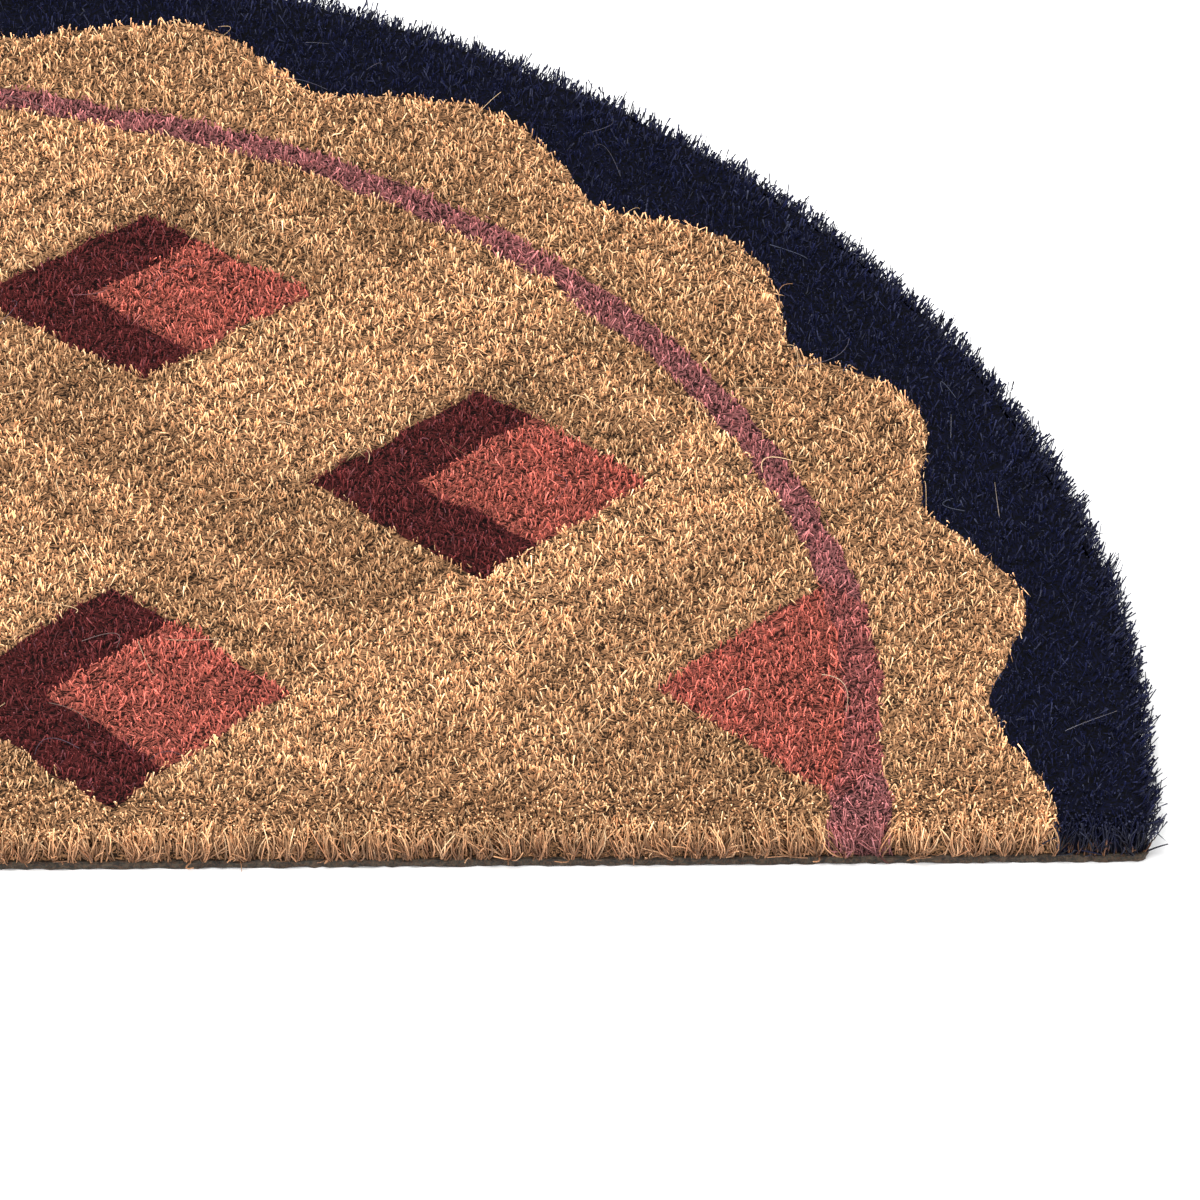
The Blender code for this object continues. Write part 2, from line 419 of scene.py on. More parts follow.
# %% The print group
def build_print_group():
    tree, given, result = group_tree(
        "stencil_print",
        "ShaderNodeTree",
        [("Place", "NodeSocketVector", None), ("Wander", "NodeSocketFloat", 0.0016)],
        [("Colour", "NodeSocketColor"), ("Dyed", "NodeSocketFloat")],
    )
    # A hand cut stencil is never quite true, so the place wanders a little before it is looked up.
    noise = add(tree, "ShaderNodeTexNoise", Vector=given["Place"], Scale=60.0, Detail=1.0)
    off = vector(tree, "SUBTRACT", noise.outputs["Color"], (0.5, 0.5, 0.5))
    drift = vector(tree, "SCALE", off, calc(tree, "MULTIPLY", given["Wander"], 4.0))
    place = vector(tree, "ADD", given["Place"], drift)
    place = vector(tree, "SUBTRACT", place, (MIDDLE_X, FRONT_Y, 0.0))
    split = add(tree, "ShaderNodeSeparateXYZ", Vector=place)
    x, y = split.outputs["X"], split.outputs["Y"]
    side = calc(tree, "ABSOLUTE", x)
    over = calc(tree, "SUBTRACT", y, STRAIGHT_SIDE)
    radius = distance(tree, x, calc(tree, "MAXIMUM", over, 0.0))

    past_edge = past_border_edge(tree, side, over, radius)
    in_border = calc(tree, "GREATER_THAN", past_edge, 0.0)
    in_arc, within_arc = rose_arc(tree, y, radius)
    row, rising, falling = slanting_counts(tree, x, y)
    in_diamond, in_coral = diamonds(tree, x, row, rising, falling, within_arc)
    cloud = noise_at(tree, given["Place"], 26.0)
    tone = field_tone(tree, cloud, y, radius, past_edge, rising, falling)

    colour = mix_colour(tree, tone, DYES["grey fibre"], DYES["bright fibre"])
    diamond_colour = mix_colour(tree, in_coral, DYES["maroon"], DYES["coral"])
    colour = mix_colour(tree, in_diamond, colour, diamond_colour)
    arc_colour = mix_colour(tree, in_diamond, DYES["rose"], DYES["rose over coral"])
    colour = mix_colour(tree, in_arc, colour, arc_colour)
    colour = mix_colour(tree, in_border, colour, DYES["navy"])
    plug(tree, colour, result["Colour"])
    dyed = calc(tree, "MAXIMUM", calc(tree, "MAXIMUM", in_border, in_arc), in_diamond)
    plug(tree, dyed, result["Dyed"])
    return tree


PRINT_GROUP = build_print_group()
print("print group:", len(PRINT_GROUP.nodes), "nodes")

# %% [markdown]
# ## Two small groups for fibre marks
#
# Coir is never smooth. Seen close, each fibre has fine stripes along it, and between the fibres lies
# a tangle of short ends that point every way. The first group draws stripes along the fibre's
# height. The second cuts space into small cells and turns the stripes by chance in each one.

# %% Stripe and tangle groups
def build_stripe_group():
    tree, given, result = group_tree(
        "fibre_stripes",
        "ShaderNodeTree",
        [
            ("Place", "NodeSocketVector", None),
            ("Across", "NodeSocketFloat", 3200.0),
            ("Along", "NodeSocketFloat", 300.0),
        ],
        [("Stripes", "NodeSocketFloat")],
    )
    across = given["Across"]
    stretch = add(tree, "ShaderNodeCombineXYZ", X=across, Y=across, Z=given["Along"]).outputs[0]
    noise = noise_at(tree, vector(tree, "MULTIPLY", given["Place"], stretch), 1.0, 0.0)
    plug(tree, ramp(tree, noise, 0.30, 0.70), result["Stripes"])
    return tree


def build_tangle_group():
    tree, given, result = group_tree(
        "fibre_tangle",
        "ShaderNodeTree",
        [("Place", "NodeSocketVector", None), ("Cell size", "NodeSocketFloat", 0.0024)],
        [("Tangle", "NodeSocketFloat")],
    )
    layers = []
    for shift in (0.0, 0.0017):
        place = vector(tree, "ADD", given["Place"], (shift, shift, 0.0))
        per_metre = calc(tree, "DIVIDE", 1.0, given["Cell size"])
        cells = add(tree, "ShaderNodeTexVoronoi", Vector=place, Scale=per_metre)
        turn = add(tree, "ShaderNodeSeparateColor", Color=cells.outputs["Color"]).outputs["Red"]
        turned = add(tree, "ShaderNodeVectorRotate", {"rotation_type": "Z_AXIS"},
                     Vector=place, Angle=calc(tree, "MULTIPLY", turn, math.tau)).outputs[0]
        long = vector(tree, "MULTIPLY", turned, (480.0, 2400.0, 1300.0))
        layers.append(ramp(tree, noise_at(tree, long, 1.0), 0.48, 0.68))
    plug(tree, calc(tree, "MAXIMUM", *layers), result["Tangle"])
    return tree


STRIPE_GROUP = build_stripe_group()
TANGLE_GROUP = build_tangle_group()
print("fibre groups:", STRIPE_GROUP.name, TANGLE_GROUP.name)

# %% [markdown]
# ## The fibre finish
#
# Every fibre carries two values that were stored when it was made: the place of its tip, where it
# meets the stencil, and a random shade. Dye is brushed on from above, so it fades out some
# millimetres down, and the foot of the fibre stays brown. Low down the fibres shade each other, and
# dust and husk make them darker too, so the colour is painted darker towards the foot: painted shade
# together with real dust. Light from the side reaches deeper at the rim, so the bristles there carry
# a third value, which makes their painted shade lighter. The fibre is dull, with a faint shine.

# %% Fibre finish
DYE_FLOOR = 0.0062  # height where the dye has half faded out
DYE_FADE = 0.0015


def build_fibre_material(name, shine, least, most, dark_below, darkest, printed=True):
    """Coconut fibre with the print. Its shades run from least to most, and painted shade with some dust
    makes it darkest low down.
    """
    finish, tree, shader = new_finish(name)
    spot = add(tree, "ShaderNodeAttribute", {"attribute_name": "print_at"}).outputs["Vector"]
    shade = add(tree, "ShaderNodeAttribute", {"attribute_name": "shade"}).outputs["Fac"]
    pattern = use(tree, PRINT_GROUP, Place=spot)
    here = add(tree, "ShaderNodeTexCoord").outputs["Object"]
    height = add(tree, "ShaderNodeSeparateXYZ", Vector=here).outputs["Z"]
    stripes = use(tree, STRIPE_GROUP, Place=here)["Stripes"]

    # A second chance, independent of the shade, picks the pale and the brown fibres.
    mixed_up = calc(tree, "MULTIPLY", shade, 977.0)
    kind = add(tree, "ShaderNodeTexWhiteNoise", {"noise_dimensions": "1D"}, W=mixed_up).outputs["Value"]
    natural = pattern["Colour"]
    if not printed:
        thread = mix_colour(tree, pattern["Dyed"], DYES["straw"], DYES["dusty thread and sheen"])
        natural = mix_colour(tree, 0.6, natural, thread)
    natural = mix_colour(tree, ramp(tree, kind, 0.86, 0.94, 0.0, 0.7), natural, DYES["straw"])
    natural = mix_colour(tree, ramp(tree, kind, 0.14, 0.06, 0.0, 0.8), natural, DYES["husk"])
    ruddy = ramp(tree, height, BACKING_TOP, PILE_TOP - 0.001, 0.55, 0.0)
    natural = mix_colour(tree, ruddy, natural, DYES["ruddy foot"])
    # Some dyed fibres took less dye and go dusty grey-blue; this also paints a grey-blue sheen of
    # highlights on the dark border.
    thin_dye_and_sheen = ramp(tree, kind, 0.88, 0.98, 0.0, 0.20)
    dyed = mix_colour(tree, thin_dye_and_sheen, pattern["Colour"], DYES["dusty thread and sheen"])
    patch = ramp(tree, noise_at(tree, spot, 75.0), 0.66, 0.53, 0.0, 0.0085)
    ragged = calc(tree, "ADD", calc(tree, "SUBTRACT", height, 0.0035), patch)
    ragged = calc(tree, "MULTIPLY_ADD", kind, 0.006, ragged)
    dye = ramp(tree, ragged, DYE_FLOOR - DYE_FADE, DYE_FLOOR + DYE_FADE)
    dyed = mix_colour(tree, dye, DYES["bare foot"], dyed)
    colour = mix_colour(tree, pattern["Dyed"], natural, dyed) if printed else natural

    light = calc(tree, "MULTIPLY_ADD", calc(tree, "POWER", shade, 1.4), most - least, least)
    light = calc(tree, "MULTIPLY", light, calc(tree, "MULTIPLY_ADD", stripes, 0.45, 0.66))
    # Painted shade, with some real dust: the colour darkens towards the foot, less near the open rim.
    open_side = add(tree, "ShaderNodeAttribute", {"attribute_name": "open_side"}).outputs["Fac"]
    darkest = calc(tree, "MULTIPLY_ADD", open_side, 0.60, darkest)
    deep = ramp(tree, height, dark_below, PILE_TOP - 0.0004, darkest, 1.1)
    light = calc(tree, "MULTIPLY", light, deep)
    plug(tree, shaded(tree, colour, light), shader.inputs["Base Color"])
    plug(tree, calc(tree, "MULTIPLY_ADD", stripes, -0.2, 0.72), shader.inputs["Roughness"])
    shader.inputs["Specular IOR Level"].default_value = shine
    return finish


# The last two values set the painted shade low down: where it begins and how dark it gets.
fibre_finish = build_fibre_material("printed_coir", 0.30, 0.90, 2.3, PILE_TOP - 0.0035, 0.05)
curl_finish = build_fibre_material("printed_coir_curls", 0.30, 0.95, 2.0, PILE_TOP - 0.0040, 0.25)
stray_finish = build_fibre_material("pale_coir", 0.30, 0.70, 1.10, PILE_TOP - 0.0040, 0.50, printed=False)
wall_finish = build_fibre_material("printed_coir_wall", 0.25, 0.55, 2.4, BACKING_TOP, 0.38)


# %% Finish of the depth between the fibres, painted dark as shade
def build_core_material():
    """What is seen between the bristles: the same print, painted much darker as shade, over a tangle of
    fibre.
    """
    finish, tree, shader = new_finish("coir_depth_painted_shade")
    here = add(tree, "ShaderNodeTexCoord").outputs["Object"]
    pattern = use(tree, PRINT_GROUP, Place=here)
    undyed = calc(tree, "SUBTRACT", 1.0, pattern["Dyed"])
    colour = mix_colour(tree, calc(tree, "MULTIPLY", undyed, 0.5), pattern["Colour"], DYES["husk"])
    # Painted shade: the print is kept very dark here, lit only by the tangle's strokes.
    light = calc(tree, "MULTIPLY_ADD", use(tree, TANGLE_GROUP, Place=here)["Tangle"], 0.56, 0.02)
    plug(tree, shaded(tree, colour, light), shader.inputs["Base Color"])
    shader.inputs["Roughness"].default_value = 0.9
    shader.inputs["Specular IOR Level"].default_value = 0.1
    return finish


core_painted_shade_finish = build_core_material()


# %% Vinyl finish
def build_vinyl_material():
    """Dark olive brown vinyl, dull, with husk dust and bits of fibre pressed into it."""
    finish, tree, shader = new_finish("fibrous_vinyl")
    here = add(tree, "ShaderNodeTexCoord").outputs["Object"]
    grain = noise_at(tree, here, 700.0, 3.0, Roughness=0.7)
    tangle = use(tree, TANGLE_GROUP, Place=here, Cell_size=0.006)["Tangle"]
    base = mix_colour(tree, ramp(tree, grain, 0.35, 0.70), srgb(20, 17, 13), srgb(62, 56, 46))
    base = mix_colour(tree, calc(tree, "MULTIPLY", tangle, 0.14), base, DYES["bare foot"])
    plug(tree, base, shader.inputs["Base Color"])
    plug(tree, calc(tree, "MULTIPLY_ADD", grain, 0.3, 0.55), shader.inputs["Roughness"])
    relief = calc(tree, "MULTIPLY_ADD", tangle, 0.4, grain)
    bump = add(tree, "ShaderNodeBump", Height=relief, Strength=0.6, Distance=0.0003)
    plug(tree, bump.outputs["Normal"], shader.inputs["Normal"])
    shader.inputs["Specular IOR Level"].default_value = 0.3
    return finish


vinyl_finish = build_vinyl_material()
finishes = (fibre_finish, curl_finish, stray_finish, wall_finish, core_painted_shade_finish, vinyl_finish)
print("finishes:", [finish.name for finish in finishes])

# %% [markdown]
# ## The outline
#
# Everything follows one outline: the straight front edge, two small corners, two short sides and the
# round edge. The walk below goes once round it and gives points with their outward direction. The
# inset moves it inwards, so that one walk serves the backing, the core and the sheets to scatter on.

# %% Walk round the outline
CORNER_RADIUS = 0.003


def walk(inset, step):
    """Points (x, y, outward x, outward y) round the outline, this far inside it and this far apart."""
    radius = HALF_WIDTH - inset
    corner = max(CORNER_RADIUS - inset, 0.0002)
    flat = radius - corner  # the front edge's half length
    front, side = inset, inset + corner
    runs = [
        (2 * flat, lambda t: (-flat + 2 * flat * t, front, 0.0, -1.0)),
        (corner * math.pi / 2, lambda t: bend(flat, side, corner, -90 + 90 * t)),
        (STRAIGHT_SIDE - side, lambda t: (radius, side + (STRAIGHT_SIDE - side) * t, 1.0, 0.0)),
        (radius * math.pi, lambda t: bend(0.0, STRAIGHT_SIDE, radius, 180 * t)),
        (STRAIGHT_SIDE - side, lambda t: (-radius, STRAIGHT_SIDE - (STRAIGHT_SIDE - side) * t, -1.0, 0.0)),
        (corner * math.pi / 2, lambda t: bend(-flat, side, corner, 180 + 90 * t)),
    ]
    points = []
    for length, place in runs:
        count = max(3, round(length / step))
        points += [place(i / count) for i in range(count)]
    return [(MIDDLE_X + x, FRONT_Y + y, out_x, out_y) for x, y, out_x, out_y in points]


def bend(middle_x, middle_y, radius, degrees):
    out_x, out_y = math.cos(math.radians(degrees)), math.sin(math.radians(degrees))
    return middle_x + radius * out_x, middle_y + radius * out_y, out_x, out_y


def show(name, shape, finish=None):
    """Puts a bmesh in the scene as a triangulated mesh, with its faces turned outwards."""
    bmesh.ops.triangulate(shape, faces=shape.faces)
    bmesh.ops.recalc_face_normals(shape, faces=shape.faces)
    mesh = bpy.data.meshes.new(name)
    shape.to_mesh(mesh)
    shape.free()
    if finish:
        mesh.materials.append(finish)
    thing = bpy.data.objects.new(name, mesh)
    bpy.context.scene.collection.objects.link(thing)
    print(f"{name}: {len(mesh.polygons)} triangles")
    return thing


def stack(name, rings, finish):
    """A closed solid from rings of points, one above the other, with a lid at both ends."""
    shape = bmesh.new()
    rows = [[shape.verts.new(point) for point in ring] for ring in rings]
    for below, above in zip(rows, rows[1:]):
        for i in range(len(below)):
            j = (i + 1) % len(below)
            shape.faces.new((below[i], below[j], above[j], above[i]))
    shape.faces.new(list(reversed(rows[0])))
    shape.faces.new(rows[-1])
    return show(name, shape, finish)


# %% [markdown]
# ## The backing and the core of the pile
#
# The backing is cut from a sheet of vinyl, and the cut is a little ragged with fibre. The core is a
# plain body inside the brush, its finish painted dark as the shade between the fibres. On the real
# mat there is nothing but more fibre there, but no eye can follow it that deep, so one solid with a
# tangled finish saves a million fibres.

# %% Backing and core
draw = random.Random(11)
RAGGED = 0.00035  # how far the cut edge of the vinyl strays
backing_walk = walk(0.0, 0.0021)
backing_rings = []
for height, inset in ((0.0, 0.0004), (0.0008, 0.0), (BACKING_TOP - 0.0004, 0.0001), (BACKING_TOP, 0.0005)):
    ring = []
    for x, y, out_x, out_y in backing_walk:
        out = draw.uniform(-RAGGED, RAGGED) - inset
        ring.append((x + out * out_x, y + out * out_y, height))
    backing_rings.append(ring)
backing = stack("backing_sheet", backing_rings, vinyl_finish)

CORE_INSET = 0.0012
CORE_TOP = PILE_TOP - 0.0020
CORE_REACH = 0.0018  # how far the core's tufts lean out at the top
core_walk = walk(CORE_INSET, 0.0013)
TUFT_POINTS = 5  # points of the walk across one tuft
core_tufts = []
for i in range(len(core_walk)):
    if i % TUFT_POINTS == 0:
        own = draw.uniform(0.15, 1.0)
    core_tufts.append(own * draw.uniform(0.45, 1.0))
CORE_LEVELS = [
    # height, share of the reach, inset, how much single points sink
    (BACKING_TOP, 0.0, 0.0, 0.0),
    (CORE_TOP * 0.6, 0.45, 0.0, 0.0),
    (CORE_TOP - 0.0016, 1.0, 0.0, 0.0014),
    (CORE_TOP, 1.0, 0.0032, 0.0),
]
core_rings = []
for height, reach, inset, sink in CORE_LEVELS:
    ring = []
    for (x, y, out_x, out_y), tuft in zip(core_walk, core_tufts):
        out = reach * CORE_REACH * tuft - inset
        ring.append((x + out * out_x, y + out * out_y, height - draw.uniform(0.0, sink)))
    core_rings.append(ring)
core = stack("pile_core", core_rings, core_painted_shade_finish)

# %% [markdown]
# ## How the pile leans at the rim
#
# Inside the mat the fibres hold each other up. At the rim nothing holds them, so they lean out. All
# the fibres below need that lean, so it is a Geometry Nodes group of its own. It finds the nearest
# edge, round or straight, and gives the way out, how far the point lies inside, and its place along.

# %% Rim group
LEAN_BAND = 0.016


def build_rim_group():
    tree, given, result = group_tree(
        "nearest_rim",
        "GeometryNodeTree",
        [("Place", "NodeSocketVector", None), ("Band", "NodeSocketFloat", LEAN_BAND)],
        [
            ("Out", "NodeSocketVector"),
            ("Along", "NodeSocketFloat"),
            ("Inside", "NodeSocketFloat"),
            ("Near", "NodeSocketFloat"),
        ],
    )
    place = vector(tree, "SUBTRACT", given["Place"], (MIDDLE_X, FRONT_Y, 0.0))
    split = add(tree, "ShaderNodeSeparateXYZ", Vector=place)
    x, y = split.outputs["X"], split.outputs["Y"]
    over = calc(tree, "SUBTRACT", y, STRAIGHT_SIDE)
    rise = calc(tree, "MAXIMUM", over, 0.0)
    ray = add(tree, "ShaderNodeCombineXYZ", X=x, Y=rise).outputs[0]
    from_round = calc(tree, "SUBTRACT", HALF_WIDTH, vector(tree, "LENGTH", ray))
    is_front = calc(tree, "LESS_THAN", y, from_round)
    out = add(tree, "ShaderNodeMix", {"data_type": "VECTOR"})
    plug(tree, is_front, out.inputs[0])
    plug(tree, vector(tree, "NORMALIZE", ray), out.inputs[4])
    plug(tree, (0.0, -1.0, 0.0), out.inputs[5])
    turned = calc(tree, "MULTIPLY", calc(tree, "ARCTAN2", over, x), HALF_WIDTH)
    along = add(tree, "ShaderNodeMix", {"data_type": "FLOAT"})
    plug(tree, is_front, along.inputs[0])
    plug(tree, turned, along.inputs[2])
    plug(tree, x, along.inputs[3])
    inside = calc(tree, "MINIMUM", from_round, y)
    near = calc(tree, "SUBTRACT", 1.0, calc(tree, "DIVIDE", inside, given["Band"]), clamp=True)
    found = {"Out": out.outputs[1], "Along": along.outputs[0], "Inside": inside, "Near": near}
    for name, value in found.items():
        plug(tree, value, result[name])
    return tree


RIM_GROUP = build_rim_group()
print("rim group:", len(RIM_GROUP.nodes), "nodes")

# %% [markdown]
# ## Growing fibres on a sheet
#
# Geometry Nodes scatter fibres over a flat sheet in the mat's outline, cut into upright strips so
# that no piece gets too heavy. When a tree has run, its result is kept as a plain mesh.

# %% Sheets and growing
def sheet_to_grow_on(name, inset, height, left=None, right=None, depth=None):
    """A flat sheet in the mat's outline, between two places along X, or this deep from the front."""
    shape = bmesh.new()
    shape.faces.new([shape.verts.new((x, y, height)) for x, y, _, _ in walk(inset, 0.012)])
    cuts = [(left, (-1, 0, 0)), (right, (1, 0, 0)), (None if depth is None else FRONT_Y + depth, (0, 1, 0))]
    for cut, way in cuts:
        if cut is not None:
            bmesh.ops.bisect_plane(
                shape,
                geom=[*shape.verts, *shape.edges, *shape.faces],
                plane_co=(cut * abs(way[0]), cut * way[1], 0),
                plane_no=way,
                clear_outer=True,
            )
    return show(name, shape)


def set_inputs(modifier, tree, values):
    """Gives a modifier its inputs by the sockets' identifiers, which stay the same when a name changes."""
    for socket in tree.interface.items_tree:
        if socket.item_type == "SOCKET" and socket.in_out == "INPUT" and socket.name in values:
            modifier[socket.identifier] = values[socket.name]


def grown(sheet, tree, values):
    """Runs a Geometry Nodes tree on the sheet, and puts the plain mesh that it makes in its place."""
    modifier = sheet.modifiers.new("grow", "NODES")
    modifier.node_group = tree
    set_inputs(modifier, tree, values)
    bpy.context.view_layer.update()
    graph = bpy.context.evaluated_depsgraph_get()
    ready = sheet.evaluated_get(graph)
    made = bpy.data.meshes.new_from_object(ready, preserve_all_data_layers=True, depsgraph=graph)
    sheet.modifiers.clear()
    old = sheet.data
    sheet.data = made
    made.name = sheet.name
    bpy.data.meshes.remove(old)
    triangles = sum(len(face.vertices) - 2 for face in made.polygons)
    print(f"{sheet.name} grown: {triangles} triangles")
    return sheet


def chance(tree, low, high, seed):
    """A random number from low to high, one for each point."""
    node = add(tree, "FunctionNodeRandomValue", {"data_type": "FLOAT"}, Seed=seed)
    plug(tree, low, node.inputs[2])
    plug(tree, high, node.inputs[3])
    return node.outputs[1]


def flat_chance(tree, seed):
    """A random way across, up to 1 along X and along Y."""
    x, y = chance(tree, -1.0, 1.0, seed), chance(tree, -1.0, 1.0, seed + 1)
    return add(tree, "ShaderNodeCombineXYZ", X=x, Y=y).outputs[0]


def upwards(tree, height):
    return add(tree, "ShaderNodeCombineXYZ", Z=height).outputs[0]


def store(tree, geometry, values):
    """Keeps values on the points under names: (name, kind, value)."""
    for name, kind, value in values:
        node = add(tree, "GeometryNodeStoreNamedAttribute", {"data_type": kind, "domain": "POINT"})
        for source, label in ((geometry, "Geometry"), (name, "Name"), (value, "Value")):
            plug(tree, source, node.inputs[label])
        geometry = node.outputs[0]
    return geometry


def scattered(tree, given):
    """Random points on the sheet."""
    node = add(tree, "GeometryNodeDistributePointsOnFaces", {"distribute_method": "RANDOM"})
    wanted = {"Mesh": "Sheet", "Density": "Fibres per square metre", "Seed": "Seed"}
    for label, name in wanted.items():
        plug(tree, given[name], node.inputs[label])
    return node.outputs["Points"]


def without(tree, points, chosen):
    kept = add(tree, "GeometryNodeDeleteGeometry", {"domain": "POINT"}, Geometry=points, Selection=chosen)
    return kept.outputs[0]


def dressed(tree, geometry, finish):
    return add(tree, "GeometryNodeSetMaterial", Geometry=geometry, Material=finish).outputs[0]


# %% [markdown]
# ## The field of bristles
#
# A mat this size has hundreds of thousands of fibres, and only the top few millimetres of each can
# be seen. So each bristle is one of the cheapest closed solids there are. The cut one is a three
# sided cone on its point, four faces with the sheared end on top. One in five is bent and has six
# faces: a thin triangle in the middle and a point at either end, with the top one pushed aside. The
# scattered points are the tips, because the tips are what the shears and the stencil met.

# %% Bristle tree
CUT_TO_ONE_BENT = 4
BENT_ASIDE = 6.0  # how far a bent bristle's top is pushed over, in its own radii
LEAST_REACH = 0.0034  # even between two tufts, the rim's bristles reach this far out
FAN = (90.0, 90.0, 0.0)  # lean gained for each metre from the middle of a tuft


def build_bristle_tree():
    tree, given, result = group_tree(
        "sheared_bristles",
        "GeometryNodeTree",
        [
            ("Sheet", "NodeSocketGeometry", None),
            ("Fibres per square metre", "NodeSocketFloat", 565000.0),
            ("Fibre radius", "NodeSocketFloat", 0.000215),
            ("Length", "NodeSocketFloat", 0.0048),
            ("Unevenness", "NodeSocketFloat", 0.0008),
            ("Lean", "NodeSocketFloat", 0.50),
            ("Tuft size", "NodeSocketFloat", 0.005),
            ("Rim lean", "NodeSocketFloat", 0.80),
            ("Rim reach", "NodeSocketFloat", 0.0064),
            ("Only within", "NodeSocketFloat", 1.0),
            ("Seed", "NodeSocketInt", 3),
            ("Finish", "NodeSocketMaterial", None),
        ],
        [("Bristles", "NodeSocketGeometry")],
    )
    points = scattered(tree, given)
    place = add(tree, "GeometryNodeInputPosition").outputs[0]
    rim = use(tree, RIM_GROUP, Place=place)

    # The rim is ragged: tufts reach out by different amounts, and so does each fibre in them.
    tufts = noise_at(tree, place, 190.0)
    reach = calc(tree, "MULTIPLY", given["Rim reach"], calc(tree, "MULTIPLY_ADD", tufts, 1.6, -0.3))
    reach = calc(tree, "SUBTRACT", calc(tree, "MAXIMUM", reach, LEAST_REACH), chance(tree, 0.0, 0.0014, 17))
    beyond = calc(tree, "LESS_THAN", rim["Inside"], calc(tree, "MULTIPLY", reach, -1.0))
    deeper = calc(tree, "GREATER_THAN", rim["Inside"], given["Only within"])
    points = without(tree, points, calc(tree, "MAXIMUM", beyond, deeper))

    # Most bristles stand almost upright and a few lie over. They also fan out from the middle of
    # their tuft.
    wild = calc(tree, "POWER", chance(tree, 0.0, 1.0, 18), 4.0)
    much = calc(tree, "MULTIPLY", given["Lean"], calc(tree, "MULTIPLY_ADD", wild, 2.2, 0.5))
    aside = flat_chance(tree, 11)
    tuft = add(tree, "ShaderNodeTexVoronoi", {"voronoi_dimensions": "2D"},
               Vector=place, Scale=calc(tree, "DIVIDE", 1.0, given["Tuft size"]))
    fan = vector(tree, "MULTIPLY", vector(tree, "SUBTRACT", place, tuft.outputs["Position"]), FAN)
    over = calc(tree, "MULTIPLY", given["Rim lean"], calc(tree, "POWER", rim["Near"], 1.5))
    rim_lean = vector(tree, "SCALE", rim["Out"], over)
    lean = vector(tree, "ADD", vector(tree, "SCALE", aside, much), vector(tree, "ADD", fan, rim_lean))
    direction = vector(tree, "NORMALIZE", vector(tree, "ADD", lean, (0.0, 0.0, 1.0)))
    turn = add(tree, "FunctionNodeAlignRotationToVector", {"axis": "Z"}, Vector=direction).outputs[0]
    spin = add(tree, "FunctionNodeAxisAngleToRotation",
               Axis=(0.0, 0.0, 1.0), Angle=chance(tree, 0.0, math.tau, 13)).outputs[0]
    turn = add(tree, "FunctionNodeRotateRotation", {"rotation_space": "LOCAL"},
               Rotation=turn, Rotate_By=spin).outputs[0]

    # Tips: sheared level, with low lumps, and rounded off at the rim.
    lumps = noise_at(tree, place, 70.0, 2.0)
    pits = noise_at(tree, place, 310.0)
    rise = calc(tree, "MULTIPLY_ADD", lumps, 0.0022, -0.0011)
    rise = calc(tree, "ADD", rise, calc(tree, "MULTIPLY_ADD", pits, 0.0036, -0.0020))
    rise = calc(tree, "ADD", rise, calc(tree, "MULTIPLY", chance(tree, -1.0, 0.8, 14), given["Unevenness"]))
    drop = calc(tree, "MULTIPLY", calc(tree, "POWER", rim["Near"], 4.0), chance(tree, -0.0040, -0.0006, 19))
    rise = upwards(tree, calc(tree, "ADD", rise, drop))
    tips = add(tree, "GeometryNodeSetPosition", Geometry=points, Offset=rise).outputs[0]
    strayed = vector(tree, "ADD", place, vector(tree, "SCALE", aside, 0.0006))
    # open_side tells the finish how near the open rim a bristle stands; its painted shade is lighter there.
    tips = store(tree, tips, [
        ("print_at", "FLOAT_VECTOR", strayed),
        ("shade", "FLOAT", chance(tree, 0.0, 1.0, 16)),
        ("open_side", "FLOAT", calc(tree, "POWER", rim["Near"], 3.0)),
    ])

    cut = add(tree, "GeometryNodeMeshCone", {"fill_type": "NGON"},
              Vertices=3, Radius_Top=1.0, Radius_Bottom=0.0, Depth=1.0).outputs["Mesh"]
    cut = add(tree, "GeometryNodeTransform", Geometry=cut, Translation=(0.0, 0.0, -1.0)).outputs[0]
    bent = add(tree, "GeometryNodeMeshUVSphere", Segments=3, Rings=2, Radius=1.0).outputs["Mesh"]
    top = calc(tree, "GREATER_THAN", add(tree, "ShaderNodeSeparateXYZ", Vector=place).outputs["Z"], 0.5)
    bent = add(tree, "GeometryNodeSetPosition",
               Geometry=bent, Selection=top, Offset=(BENT_ASIDE, 0.0, 0.0)).outputs[0]
    bent = add(tree, "GeometryNodeTransform",
               Geometry=bent, Translation=(0.0, 0.0, -0.5), Scale=(1.0, 1.0, 0.5)).outputs[0]
    joined = tree.nodes.new("GeometryNodeJoinGeometry")
    for kind in [cut] * CUT_TO_ONE_BENT + [bent]:
        plug(tree, add(tree, "GeometryNodeGeometryToInstance", Geometry=kind).outputs[0], joined.inputs[0])
    radius = calc(tree, "MULTIPLY", given["Fibre radius"], chance(tree, 0.75, 1.25, 15))
    radius = calc(tree, "MULTIPLY", radius, calc(tree, "MULTIPLY_ADD", rim["Near"], 0.30, 1.0))
    size = add(tree, "ShaderNodeCombineXYZ", X=radius, Y=radius, Z=given["Length"]).outputs[0]
    copies = add(tree, "GeometryNodeInstanceOnPoints", Points=tips, Instance=joined.outputs[0],
                 Pick_Instance=True, Rotation=turn, Scale=size).outputs[0]
    real = add(tree, "GeometryNodeRealizeInstances", Geometry=copies).outputs[0]
    plug(tree, dressed(tree, real, given["Finish"]), result["Bristles"])
    return tree


